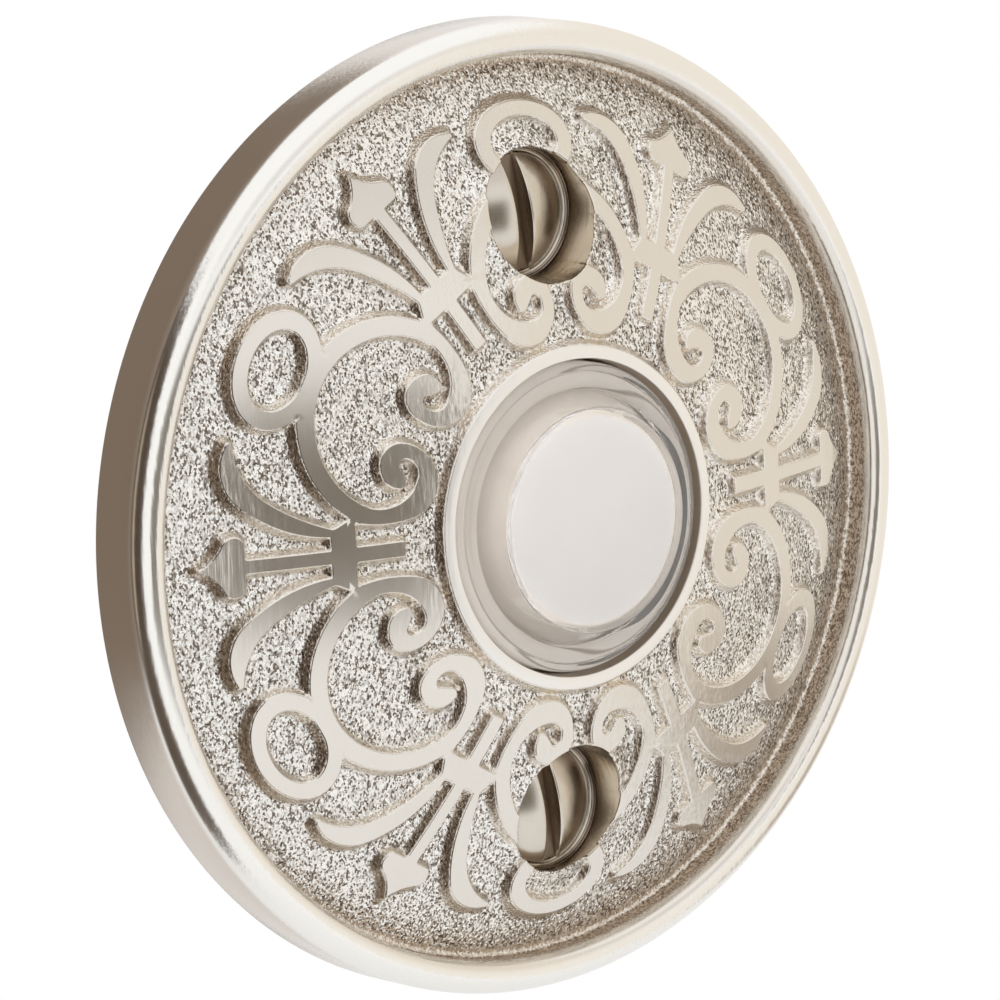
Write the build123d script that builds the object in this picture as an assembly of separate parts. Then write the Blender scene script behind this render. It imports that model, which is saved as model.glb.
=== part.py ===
from build123d import *
import os
from math import radians, sqrt, tan

# All sizes are in millimetres. Pieces are drawn with the button's axis along Z, the wall at
# Z = 0 and the top of the plate towards +Y, and are stood upright when they are saved.

# Face plate: a round casting with a rolled rim and a domed middle
plate_diameter = 57.2
rim_height = 4.4
rim_width = 2.0
# The roll's outer and inner rounds, as shares of the rim's width
rim_outer_share = 0.6
rim_inner_share = 0.38
dome_height = 9.35
dome_radius = 58.0
relief_depth = 0.6
collar_width = 0.8
plate_wall = 2.0
back_rim_width = 3.4
hollow_depth = 3.2

# Ornament: six palmettes, and six C scrolls with a loop between them
motifs = 6
spear_tip_radius = 24.3
spear_length = 2.5
spear_width = 3.5
stem_width = 0.8
hub_outer_radius = 16.95
hub_inner_radius = 15.45
hub_width = 4.2
hub_corner = 0.3
hub_root = 0.5
tail_end_radius = 12.5
tail_width = 0.9
scroll_centre_radius = 14.1
scroll_inner_radius = 5.05
scroll_band = 1.05
loop_hole_length = 4.86
loop_hole_width = 3.04
loop_side_band = 1.1
loop_end_band = 0.85
# The leaf's edge on the palmette's right side: across the axis, then out from the centre
leaf_inner_edge = [(1.15, 16.9), (2.05, 20.1), (3.65, 22.2)]
leaf_crown = [(5.25, 22.77), (6.93, 22.3)]
leaf_tip = [(7.1, 22.08), (6.88, 21.96)]
leaf_belly = [(4.98, 21.55), (3.4, 20.24)]
leaf_outer_edge = [(2.38, 18.6), (1.6, 16.75)]
# The volute's edge from the scroll's outer end to its inner end, seen from the scroll's centre
volute_edge = [
    (-5.42, -1.65), (-4.40, -3.03), (-3.22, -3.66), (-1.80, -3.44), (-0.77, -1.97),
    (-0.90, -0.44), (-1.70, 0.27), (-2.78, 0.10), (-3.42, -0.78), (-3.33, -1.43),
    (-3.00, -1.71), (-2.68, -1.58), (-2.43, -1.24), (-2.14, -0.86), (-1.69, -0.96),
    (-1.56, -1.33), (-1.70, -1.92), (-2.33, -2.28), (-3.47, -2.15), (-4.48, -1.39),
    (-4.90, -0.70),
]

# Mounting screws
screw_spacing = 35.0
screw_hole_diameter = 7.7
screw_head_diameter = 7.0
screw_head_drop = 2.85
screw_head_dome = 0.95
screw_head_edge = 0.1
screw_head_angle = 82
screw_neck_diameter = 3.8
screw_thread_diameter = 3.5
screw_length = 25.0
screw_point = 5.0
screw_slot_width = 1.0
screw_slot_depth = 1.1
screw_slot_turns = [7.0, 7.0]
screw_clearance = 0.25
screw_boss_wall = 1.6
seat_gap = 0.02

# Button: clear cap, white diffuser and plunger
cap_radius = 9.05
cap_clearance = 0.2
cap_travel = 1.2
cap_back_height = 6.75
cap_edge_height = 8.05
bead_height = 8.6
bead_foot_height = 8.3
boss_foot_radius = 7.5
boss_top_radius = 6.6
boss_side_height = 9.85
boss_round = 0.45
cap_front_wall = 0.7
diffuser_radius = 6.15
diffuser_thickness = 1.0
diffuser_wall = 0.5
diffuser_clearance = 0.05
diffuser_flange_radius = 8.8
diffuser_flange_thickness = 0.3
plunger_radius = 5.6
plunger_bore_radius = 3.2
plunger_flange_radius = 6.7
plunger_flange_thickness = 1.2
guide_clearance = 0.15
stop_clearance = 0.1

# Switch housing, closed behind by the terminal base
seat_height = 5.0
flange_radius = 10.35
flange_thickness = 1.7
flange_clearance = 0.2
sleeve_wall = 2.0
housing_radius = 7.9
housing_wall = 0.9
neck_radius = 8.4
neck_end = 0.0
housing_end = -9.0
base_thickness = 3.0
base_clearance = 0.05
ring_thickness = 0.6
ring_clearance = 0.1
ring_teeth = 8
ring_tooth_gap = 0.9
ring_tooth_length = 1.5

# Contacts, terminals and lamp
bridge_outer_radius = 4.6
bridge_inner_radius = 2.6
bridge_thickness = 0.4
contact_gap_left = 0.15
contact_x = 3.6
contact_y = 2.2
contact_strip = 0.5
contact_width = 1.6
contact_pad_edge = 0.2
tip_radius = 0.6
tip_height = 0.4
tab_thickness = 0.6
tab_width = 3.2
tab_end = 4.4
washer_radius = 2.0
washer_thickness = 0.5
terminal_y = -2.2
terminal_shank_radius = 1.25
terminal_hole_clearance = 0.1
terminal_shank_length = 3.4
terminal_head_radius = 2.2
terminal_head_height = 1.6
terminal_head_edge = 0.4
terminal_slot_width = 0.6
terminal_slot_depth = 0.8
terminal_slot_turn = 20
spring_radius = 5.9
spring_wire = 0.5
spring_turns = 4
spring_clearance = 0.02
lamp_radius = 1.5
lamp_flange_radius = 1.9
lamp_flange = 1.0
lamp_length = 5.3
resistor_radius = 0.7
resistor_length = 2.6
resistor_x = 2.3
resistor_y = -2.4
lead_radius = 0.2
lead_bend = 0.5

# Sizes that follow from the ones above
plate_radius = plate_diameter / 2
rim_inner_radius = plate_radius - rim_width
rim_outer_round = rim_outer_share * rim_width
rim_inner_round = rim_inner_share * rim_width
edge_height = rim_height - rim_outer_round
dome_centre = dome_height - dome_radius
bore_radius = cap_radius + cap_clearance
collar_radius = bore_radius + collar_width
seat_radius = flange_radius + flange_clearance
sleeve_radius = seat_radius + sleeve_wall
screw_radius = screw_spacing / 2
scroll_outer_radius = scroll_inner_radius + scroll_band
cap_height = boss_side_height + boss_round
diffuser_front = cap_height - cap_front_wall
plunger_front = diffuser_front - diffuser_thickness
flange_back = seat_height - flange_thickness
plunger_shoulder = flange_back - stop_clearance
plunger_back = plunger_shoulder - plunger_flange_thickness
housing_bore = housing_radius - housing_wall
base_front = housing_end + base_thickness
bridge_back = plunger_back - bridge_thickness
contact_top = bridge_back - cap_travel - contact_gap_left
terminal_hole_radius = terminal_shank_radius + terminal_hole_clearance


def dome_at(radius, depth=0):
    """Height of the domed surface, or of one that lies depth below it."""
    return dome_centre + sqrt((dome_radius - depth) ** 2 - radius ** 2)


def dome(depth):
    return Pos(0, 0, dome_centre) * Sphere(dome_radius - depth)


def turned(points):
    """Solid turned about the button's axis from (radius, height) corners."""
    outline = Polyline([(r, 0, z) for r, z in points], close=True)
    return revolve(make_face(outline.edges()), Axis.Z)


def disc(radius, bottom, top, x=0, y=0):
    return Pos(x, y, (bottom + top) / 2) * Cylinder(radius, top - bottom)


def block(width, depth, bottom, top, x=0, y=0):
    return Pos(x, y, (bottom + top) / 2) * Box(width, depth, top - bottom)


def arcs(points):
    """Chain of arcs through points taken in pairs: one on each arc, then its end."""
    return [
        ThreePointArc(points[i], points[i + 1], points[i + 2])
        for i in range(0, len(points) - 2, 2)
    ]


def both_sides(face):
    return [face, mirror(face, Plane.YZ)]


# Ornament in plan, around one palmette and one scroll, then repeated

def palmette():
    lobes = spear_tip_radius - spear_length
    shoulder = spear_tip_radius - spear_length / 2
    spear_edge = [
        ThreePointArc(
            (0, spear_tip_radius), (spear_width * 0.16, spear_tip_radius - 0.3 * spear_length),
            (spear_width * 0.36, shoulder)
        ),
        ThreePointArc(
            (spear_width * 0.36, shoulder), (spear_width / 2, shoulder - 0.26 * spear_length),
            (spear_width * 0.4, lobes)
        ),
        Line((spear_width * 0.4, lobes), (0, lobes)),
        Line((0, lobes), (0, spear_tip_radius)),
    ]
    leaf_edge = arcs(leaf_inner_edge + leaf_crown + leaf_tip + leaf_belly + leaf_outer_edge)
    crotch = leaf_outer_edge[-1]
    root = ((leaf_inner_edge[0][0] + crotch[0]) / 2, hub_inner_radius + hub_root)
    leaf_edge += [Line(crotch, root), Line(root, leaf_inner_edge[0])]
    hub_edge = Polyline(
        [
            (0, hub_outer_radius), (leaf_inner_edge[0][0], hub_outer_radius), crotch,
            (hub_width / 2, hub_inner_radius + hub_corner), (hub_width / 2 - hub_corner, hub_inner_radius),
            (0, hub_inner_radius),
        ],
        close=True,
    )
    hub_middle = (hub_inner_radius + hub_outer_radius) / 2
    stem_top = lobes + hub_root
    stem = Pos(0, (hub_middle + stem_top) / 2) * Rectangle(stem_width, stem_top - hub_middle)
    tail = Pos(0, (tail_end_radius + hub_middle) / 2) * Rectangle(tail_width, hub_middle - tail_end_radius)
    faces = [stem, tail]
    for edge in (spear_edge, leaf_edge, hub_edge.edges()):
        faces += both_sides(make_face(edge))
    return Sketch() + faces


def scroll():
    """C scroll drawn from its own centre, with its opening towards the button."""
    arch = Circle(scroll_outer_radius) - Circle(scroll_inner_radius)
    arch -= Pos(0, -scroll_outer_radius) * Rectangle(4 * scroll_outer_radius, 2 * scroll_outer_radius)
    volute_points = [(-scroll_outer_radius, 0)] + volute_edge + [(-scroll_inner_radius, 0)]
    # The stem runs a little up into the arch, so that the two join over a face
    overlap = 0.1
    edge = arcs(volute_points)
    edge += [
        Line((-scroll_inner_radius, 0), (-scroll_inner_radius, overlap)),
        Line((-scroll_inner_radius, overlap), (-scroll_outer_radius, overlap)),
        Line((-scroll_outer_radius, overlap), (-scroll_outer_radius, 0)),
    ]
    hole_centre = scroll_outer_radius + loop_hole_width / 2
    ring = Ellipse(loop_hole_length / 2 + loop_side_band, loop_hole_width / 2 + loop_end_band)
    ring -= Ellipse(loop_hole_length / 2, loop_hole_width / 2)
    return Sketch() + [arch, Pos(0, hole_centre) * ring] + both_sides(make_face(edge))


def ornament():
    turn = 360 / motifs
    palm = palmette()
    curl = Pos(0, scroll_centre_radius) * scroll()
    faces = []
    for i in range(motifs):
        faces.append(Rot(0, 0, turn * i - 90) * palm)
        faces.append(Rot(0, 0, turn * (i + 0.5) - 90) * curl)
    return Sketch() + faces


# Face plate

def plate_blank():
    """Rolled rim, dome and flat back, before anything is cut."""
    crest_outer = plate_radius - rim_outer_round
    crest_inner = rim_inner_radius + rim_inner_round
    slant = sqrt(0.5)
    dome_foot = (rim_inner_radius, 0, dome_at(rim_inner_radius))
    edge = [
        Line((0, 0, 0), (plate_radius, 0, 0)),
        Line((plate_radius, 0, 0), (plate_radius, 0, edge_height)),
        ThreePointArc(
            (plate_radius, 0, edge_height),
            (crest_outer + rim_outer_round * slant, 0, edge_height + rim_outer_round * slant),
            (crest_outer, 0, rim_height),
        ),
        Line((crest_outer, 0, rim_height), (crest_inner, 0, rim_height)),
        ThreePointArc(
            (crest_inner, 0, rim_height),
            (crest_inner - rim_inner_round * slant, 0, rim_height - rim_inner_round * (1 - slant)),
            (rim_inner_radius, 0, rim_height - rim_inner_round),
        ),
        Line((rim_inner_radius, 0, rim_height - rim_inner_round), dome_foot),
        ThreePointArc(
            dome_foot,
            (rim_inner_radius / 2, 0, dome_at(rim_inner_radius / 2)),
            (0, 0, dome_height),
        ),
        Line((0, 0, dome_height), (0, 0, 0)),
    ]
    return revolve(make_face(edge), Axis.Z)


def screw_places():
    return [(0, screw_radius), (0, -screw_radius)]


screw_rim_height = dome_at(screw_radius) - screw_head_drop
screw_cone = (screw_head_diameter - screw_neck_diameter) / 2 / tan(radians(screw_head_angle / 2))


def screw_hole():
    """Sunk hole with a conical seat, on the screw's own axis."""
    hole = screw_hole_diameter / 2
    through = screw_neck_diameter / 2 + screw_clearance
    slope = tan(radians(screw_head_angle / 2))
    mouth = screw_rim_height + (hole - screw_head_diameter / 2) / slope
    seat_end = mouth - (hole - through) / slope
    return turned(
        [
            (0, -1), (through, -1), (through, seat_end), (hole, mouth),
            (hole, dome_height), (0, dome_height),
        ]
    )


def back_hollow():
    outer = plate_radius - back_rim_width
    inner_top = plate_wall + relief_depth
    reach = dome_at(outer, inner_top)
    shell = turned([(sleeve_radius, -1), (outer, -1), (outer, hollow_depth), (sleeve_radius, hollow_depth)])
    hollow = shell & dome(inner_top) if reach < hollow_depth else shell
    boss_radius = screw_hole_diameter / 2 + screw_boss_wall
    for x, y in screw_places():
        hollow -= disc(boss_radius, -2, hollow_depth + 1, x, y)
    return hollow


def face_plate():
    ground = Circle(rim_inner_radius) - Circle(collar_radius) - ornament()
    pockets = extrude(ground, dome_height + 1) - dome(relief_depth)
    plate = plate_blank() - pockets
    plate -= back_hollow()
    plate -= disc(bore_radius, -1, dome_height + 1)
    plate -= disc(seat_radius, -1, seat_height)
    for x, y in screw_places():
        plate -= Pos(x, y) * screw_hole()
    return plate


def mounting_screws():
    head = screw_head_diameter / 2
    neck = screw_neck_diameter / 2
    thread = screw_thread_diameter / 2
    rim = screw_rim_height + seat_gap
    edge_top = rim + screw_head_edge
    crown = edge_top + screw_head_dome
    ball = (head ** 2 + screw_head_dome ** 2) / (2 * screw_head_dome)
    tip = rim - screw_length
    blank = turned(
        [
            (0, tip), (thread, tip + screw_point), (thread, 0), (neck, 0),
            (neck, rim - screw_cone), (head, rim), (head, crown), (0, crown),
        ]
    )
    dome_part = Pos(0, 0, crown - ball) * Sphere(ball) + disc(head, tip, edge_top)
    blank = blank & dome_part
    slot = block(screw_slot_width, 2 * head, crown - screw_slot_depth, crown + 1)
    screws = []
    for (x, y), turn in zip(screw_places(), screw_slot_turns):
        screws.append(Pos(x, y) * Rot(0, 0, turn) * (blank - slot))
    return Compound(children=screws)


# Button

def lens_cap():
    """Clear cap: edge bead, raised boss, and a pocket behind the boss for the diffuser."""
    crest = (cap_radius + boss_foot_radius) / 2
    slant = sqrt(0.5)
    pocket = diffuser_radius + diffuser_clearance
    round_in = boss_top_radius - boss_round
    edge = [
        Line((pocket, 0, cap_back_height), (cap_radius, 0, cap_back_height)),
        Line((cap_radius, 0, cap_back_height), (cap_radius, 0, cap_edge_height)),
        ThreePointArc(
            (cap_radius, 0, cap_edge_height), (crest, 0, bead_height),
            (boss_foot_radius, 0, bead_foot_height)
        ),
        Line((boss_foot_radius, 0, bead_foot_height), (boss_top_radius, 0, boss_side_height)),
        ThreePointArc(
            (boss_top_radius, 0, boss_side_height),
            (round_in + boss_round * slant, 0, boss_side_height + boss_round * slant),
            (round_in, 0, cap_height),
        ),
        Line((round_in, 0, cap_height), (0, 0, cap_height)),
        Line((0, 0, cap_height), (0, 0, diffuser_front)),
        Line((0, 0, diffuser_front), (pocket, 0, diffuser_front)),
        Line((pocket, 0, diffuser_front), (pocket, 0, cap_back_height)),
    ]
    return revolve(make_face(edge), Axis.Z)


def diffuser():
    """White hat that fills the cap from behind, with a thin flange under the cap's bead."""
    inner = diffuser_radius - diffuser_wall
    flange_low = cap_back_height - diffuser_flange_thickness
    return turned(
        [
            (0, plunger_front), (inner, plunger_front), (inner, flange_low),
            (diffuser_flange_radius, flange_low), (diffuser_flange_radius, cap_back_height),
            (diffuser_radius, cap_back_height), (diffuser_radius, diffuser_front), (0, diffuser_front),
        ]
    )


def plunger():
    return turned(
        [
            (plunger_bore_radius, plunger_back), (plunger_flange_radius, plunger_back),
            (plunger_flange_radius, plunger_shoulder), (plunger_radius, plunger_shoulder),
            (plunger_radius, plunger_front), (plunger_bore_radius, plunger_front),
        ]
    )


def contact_bridge():
    return turned(
        [
            (bridge_inner_radius, bridge_back), (bridge_outer_radius, bridge_back),
            (bridge_outer_radius, plunger_back), (bridge_inner_radius, plunger_back),
        ]
    )


def return_spring():
    low = base_front + spring_wire / 2 + spring_clearance
    high = plunger_back - spring_wire / 2 - spring_clearance
    path = Helix((high - low) / spring_turns, high - low, spring_radius)
    section = Plane(path @ 0, z_dir=path % 0) * RegularPolygon(spring_wire / 2, 8)
    return Pos(0, 0, low) * sweep(section, path)


# Switch behind the plate

def housing():
    guide = plunger_radius + guide_clearance
    return turned(
        [
            (guide, seat_height), (flange_radius, seat_height), (flange_radius, flange_back),
            (neck_radius, flange_back), (neck_radius, neck_end), (housing_radius, neck_end),
            (housing_radius, housing_end), (housing_bore, housing_end),
            (housing_bore, flange_back), (guide, flange_back),
        ]
    )


def retaining_ring():
    """Sprung washer whose cut inner teeth grip the housing behind its flange."""
    back = flange_back - ring_thickness
    inner = neck_radius + ring_clearance
    ring = disc(seat_radius - ring_clearance, back, flange_back) - disc(inner, back - 1, flange_back + 1)
    gap = block(2 * ring_tooth_length, ring_tooth_gap, back - 1, flange_back + 1, x=inner)
    for i in range(ring_teeth):
        ring -= Rot(0, 0, 360 / ring_teeth * i) * gap
    return ring


def terminal_base():
    slot_room = 2 * terminal_hole_clearance
    slot_x = contact_strip + slot_room
    slot_y = contact_width + slot_room
    low = housing_end - 1
    high = base_front + 1
    base = disc(housing_bore - base_clearance, housing_end, base_front)
    for side in (-1, 1):
        x = side * contact_x
        base -= block(slot_x, slot_y, low, high, x, contact_y)
        base -= disc(terminal_hole_radius, low, high, x, terminal_y)
    return base


def fixed_contact(side):
    """Upright strip that ends under the bridge, with its terminal tab behind the base."""
    x = side * contact_x
    tab_back = housing_end - tab_thickness
    strip = block(contact_strip, contact_width, tab_back, contact_top - tip_height, x, contact_y)
    pad_width = 2 * tip_radius + contact_pad_edge
    pad_top = contact_top - tip_height
    pad = block(pad_width, contact_width, pad_top - contact_strip, pad_top, x, contact_y)
    top_y = contact_y + contact_width / 2
    low_y = -tab_end
    tab = block(tab_width, top_y - low_y, tab_back, housing_end, x, (top_y + low_y) / 2)
    hole = disc(terminal_hole_radius, tab_back - 1, housing_end + 1, x, terminal_y)
    return strip + pad + tab - hole


def contact_tips():
    tips = []
    for side in (-1, 1):
        tips.append(disc(tip_radius, contact_top - tip_height, contact_top, side * contact_x, contact_y))
    return Compound(children=tips)


washer_front = housing_end - tab_thickness
washer_back = washer_front - washer_thickness


def clamp_washers():
    washers = []
    for side in (-1, 1):
        x = side * contact_x
        washer = disc(washer_radius, washer_back, washer_front, x, terminal_y)
        hole = disc(terminal_hole_radius, washer_back - 1, washer_front + 1, x, terminal_y)
        washers.append(washer - hole)
    return Compound(children=washers)


def terminal_screws():
    head_back = washer_back - terminal_head_height
    shank_end = washer_back + terminal_shank_length
    slot_end = head_back + terminal_slot_depth
    blank = turned(
        [
            (0, head_back), (terminal_head_radius - terminal_head_edge, head_back),
            (terminal_head_radius, head_back + terminal_head_edge), (terminal_head_radius, washer_back),
            (terminal_shank_radius, washer_back), (terminal_shank_radius, shank_end), (0, shank_end),
        ]
    )
    slot = block(terminal_slot_width, 3 * terminal_head_radius, head_back - 1, slot_end)
    screws = []
    for side in (-1, 1):
        turn = Rot(0, 0, side * terminal_slot_turn)
        screws.append(Pos(side * contact_x, terminal_y) * turn * (blank - slot))
    return Compound(children=screws)


def lamp():
    top = base_front + lamp_length
    body = disc(lamp_radius, base_front, top - lamp_radius)
    body += disc(lamp_flange_radius, base_front, base_front + lamp_flange)
    return body + Pos(0, 0, top - lamp_radius) * Sphere(lamp_radius)


def lamp_resistor():
    height = base_front + resistor_radius
    return Pos(resistor_x, resistor_y, height) * Rot(90, 0, 0) * Cylinder(resistor_radius, resistor_length)


def wire(points):
    path = Polyline(points)
    section = Plane(path @ 0, z_dir=path % 0) * RegularPolygon(lead_radius, 6)
    return sweep(section, path, transition=Transition.RIGHT)


def lamp_leads():
    """One lead to the left contact, one to the resistor, and one on to the right contact."""
    z = base_front + resistor_radius
    strip_x = contact_x - contact_strip / 2 - lead_radius
    low_end = resistor_y - resistor_length / 2
    low_turn = low_end - lead_bend
    high_end = resistor_y + resistor_length / 2
    high_turn = high_end + lead_bend
    to_left = [(-lamp_flange_radius, 0, z), (-strip_x, 0, z), (-strip_x, contact_y, z)]
    to_resistor = [
        (0, -lamp_flange_radius, z), (0, low_turn, z),
        (resistor_x, low_turn, z), (resistor_x, low_end, z),
    ]
    to_right = [
        (resistor_x, high_end, z), (resistor_x, high_turn, z),
        (strip_x, high_turn, z), (strip_x, contact_y, z),
    ]
    return Compound(children=[wire(to_left), wire(to_resistor), wire(to_right)])


pieces = {
    "face_plate": face_plate(),
    "mounting_screws": mounting_screws(),
    "lens_cap": lens_cap(),
    "diffuser": diffuser(),
    "plunger": plunger(),
    "contact_bridge": contact_bridge(),
    "return_spring": return_spring(),
    "housing": housing(),
    "retaining_ring": retaining_ring(),
    "terminal_base": terminal_base(),
    "contact_left": fixed_contact(-1),
    "contact_right": fixed_contact(1),
    "contact_tips": contact_tips(),
    "clamp_washers": clamp_washers(),
    "terminal_screws": terminal_screws(),
    "lamp": lamp(),
    "lamp_resistor": lamp_resistor(),
    "lamp_leads": lamp_leads(),
}

upright = Rot(90, 0, 0)
os.makedirs("parts", exist_ok=True)
for name, piece in pieces.items():
    export_step(upright * piece, "parts/" + name + ".step")
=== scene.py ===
# %% [markdown]
# # A doorbell push button
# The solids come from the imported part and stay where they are. This lesson dresses them: it builds
# the cast plate again as a fine smooth mesh, gives every piece its finish, and lights the scene.

# %% The frame
import math

import bmesh
import bpy
import numpy as np
from mathutils import Matrix, Vector
from mathutils.geometry import delaunay_2d_cdt


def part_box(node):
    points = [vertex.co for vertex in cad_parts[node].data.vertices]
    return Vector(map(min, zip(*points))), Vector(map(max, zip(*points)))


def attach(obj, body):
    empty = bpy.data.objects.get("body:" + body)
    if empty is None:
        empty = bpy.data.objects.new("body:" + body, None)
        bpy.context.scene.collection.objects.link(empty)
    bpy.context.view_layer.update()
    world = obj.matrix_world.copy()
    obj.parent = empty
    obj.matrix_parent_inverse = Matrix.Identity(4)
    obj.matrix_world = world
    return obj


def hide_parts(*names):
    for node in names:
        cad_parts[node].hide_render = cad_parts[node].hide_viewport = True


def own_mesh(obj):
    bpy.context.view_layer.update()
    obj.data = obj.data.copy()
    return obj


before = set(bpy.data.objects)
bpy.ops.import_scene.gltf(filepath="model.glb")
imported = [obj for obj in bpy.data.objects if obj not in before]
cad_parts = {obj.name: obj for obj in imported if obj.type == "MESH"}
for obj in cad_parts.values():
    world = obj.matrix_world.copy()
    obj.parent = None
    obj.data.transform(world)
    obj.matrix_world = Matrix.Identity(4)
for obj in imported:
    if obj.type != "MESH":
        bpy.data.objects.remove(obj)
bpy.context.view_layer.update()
mm = 0.001

# %% [markdown]
# ## Drawing in the plate's own plane
# Everything on the plate is easier to think of lying on its back: x to the right, y up the wall and
# z out of the wall, in millimetres. One helper stands such points upright in the frame, and one
# turns points and faces into a mesh.

# %% From drawing to mesh


def upright(points):
    """Points drawn on the plate, in millimetres, as points in the frame, in metres."""
    x, y, z = np.asarray(points, float).T
    return np.stack([x, -z, y], 1) * mm


def mesh_of(name, points, faces, sharp=40):
    """A welded mesh with its faces outward, smooth except where it turns by more than sharp."""
    mesh = bpy.data.meshes.new(name)
    mesh.from_pydata(upright(points).tolist(), [], [list(f) for f in faces])
    tidy(mesh, sharp)
    return mesh


def tidy(mesh, sharp):
    """Weld a mesh, turn its faces outward and shade it smooth."""
    work = bmesh.new()
    work.from_mesh(mesh)
    bmesh.ops.remove_doubles(work, verts=work.verts, dist=0.002 * mm)
    bmesh.ops.dissolve_degenerate(work, edges=work.edges, dist=0.0005 * mm)
    bmesh.ops.recalc_face_normals(work, faces=work.faces)
    work.to_mesh(mesh)
    work.free()
    mesh.shade_smooth()
    mesh.set_sharp_from_angle(angle=math.radians(sharp))


def turns_of(steps):
    return np.arange(steps) * 2 * math.pi / steps


def lofted(rows, closed=True):
    """Points and quads of a skin over rows of points, closed from the last row to the first."""
    width, count = len(rows[0]), len(rows)
    faces = []
    for i in range(count if closed else count - 1):
        here, there = i * width, (i + 1) % count * width
        faces += [(here + j, there + j, there + j + 1, here + j + 1) for j in range(width - 1)]
    return [point for row in rows for point in row], faces


def turned(profile, turns=turns_of(480)):
    """A (radius, height) profile turned about the button's axis."""
    return lofted([[(r * math.cos(t), r * math.sin(t), z) for r, z in profile] for t in turns])


def together(*shapes):
    """Several (points, faces) shapes as one."""
    points, faces = [], []
    for more_points, more_faces in shapes:
        start = len(points)
        points += [tuple(p) for p in more_points]
        faces += [tuple(start + i for i in f) for f in more_faces]
    return points, faces


# %% [markdown]
# ## The camera
# The photograph was taken from the plate's left, a little above its middle, with a long lens. The
# turn, rise, roll and lens were fitted to the ornament's spear tips and rings. The cards and lamps of
# the studio, further down, stand at an azimuth and an elevation too, so they share a helper.

# %% Camera

camera_azimuth, camera_elevation, camera_roll = -39.1, 9.746, -2.713
camera_distance = 462.5 * mm
camera_aim = Vector((-1.287, -2.881, 0.654)) * mm


def stand_at(azimuth, elevation, distance, aim=Vector()):
    """A place that looks at a point from an azimuth and an elevation, in degrees."""
    turn, rise = math.radians(azimuth), math.radians(elevation)
    aside, ahead = math.sin(turn) * math.cos(rise), -math.cos(turn) * math.cos(rise)
    back = Vector((aside, ahead, math.sin(rise)))
    level = back.to_track_quat("Z", "Y").to_matrix().to_4x4()
    return Matrix.Translation(aim + back * distance) @ level


def in_scene(name, data):
    """A new object, linked to the scene."""
    thing = bpy.data.objects.new(name, data)
    bpy.context.scene.collection.objects.link(thing)
    return thing


camera_data = bpy.data.cameras.new("camera")
camera_data.lens = 285.42
camera_data.sensor_width = 36
camera_data.clip_start = 0.01
camera = in_scene("camera", camera_data)
place = stand_at(camera_azimuth, camera_elevation, camera_distance, camera_aim)
camera.matrix_world = place @ Matrix.Rotation(math.radians(camera_roll), 4, "Z")
bpy.context.scene.camera = camera
print("camera at", [round(v, 4) for v in camera.matrix_world.translation])

# %% [markdown]
# ## The plate's ornament as a distance field
# On the real plate a six-fold pattern of palmettes and C scrolls stands 0.6 mm proud of a grained
# ground. Half a motif, 30 degrees from a palmette's axis to a scroll's axis, holds all of it. Every
# outline becomes a distance, positive inside, and distances join with a small round in their
# corners, as they would in a casting.

# %% Outlines of half a motif


def round_about(x, y, radius, turns):
    """Points on a circle round (x, y), at turns in radians."""
    return [(x + radius * math.cos(t), y + radius * math.sin(t)) for t in turns]


def arc(start, through, end, steps=10):
    """Points on the arc from start through a point to end, without the end."""
    (ax, ay), (bx, by), (cx, cy) = start, through, end
    d = 2 * (ax * (by - cy) + bx * (cy - ay) + cx * (ay - by))
    a, b, c = ax * ax + ay * ay, bx * bx + by * by, cx * cx + cy * cy
    ux = (a * (by - cy) + b * (cy - ay) + c * (ay - by)) / d
    uy = (a * (cx - bx) + b * (ax - cx) + c * (bx - ax)) / d
    first, last = math.atan2(ay - uy, ax - ux), math.atan2(cy - uy, cx - ux)
    turn = 1 if d > 0 else -1
    sweep = turn * ((turn * (last - first)) % (2 * math.pi))
    radius = math.hypot(ax - ux, ay - uy)
    return round_about(ux, uy, radius, [first + sweep * i / steps for i in range(steps)])


def arcs(points, steps=10):
    """A chain of arcs through points taken in pairs: one on each arc, then its end."""
    chain = []
    for i in range(0, len(points) - 2, 2):
        chain += arc(points[i], points[i + 1], points[i + 2], steps)
    return chain + [points[-1]]


def mirrored(half):
    """A closed outline from its right half, which starts and ends on the axis."""
    return half + [(-x, y) for x, y in reversed(half) if x > 1e-6]


tip, lobes, shoulder = 24.3, 21.8, 23.05
spear = mirrored(arcs([(0, tip), (0.56, 23.55), (1.26, shoulder), (1.75, 22.4), (1.4, lobes)]) + [(0, lobes)])
stem = [(-0.4, 16.2), (0.4, 16.2), (0.4, 22.3), (-0.4, 22.3)]
tail = [(-0.45, 12.5), (0.45, 12.5), (0.45, 16.2), (-0.45, 16.2)]
hub = mirrored([(0, 16.95), (1.15, 16.95), (1.6, 16.75), (2.1, 15.75), (1.8, 15.45), (0, 15.45)])
leaf = arcs(
    [
        (1.15, 16.9), (2.05, 20.1), (3.65, 22.2), (5.25, 22.77), (6.93, 22.3), (7.1, 22.08),
        (6.88, 21.96), (4.98, 21.55), (3.4, 20.24), (2.38, 18.6), (1.6, 16.75),
    ]
) + [(1.375, 15.95)]
scroll_centre, scroll_inner, scroll_outer = 14.1, 5.05, 6.1
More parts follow.
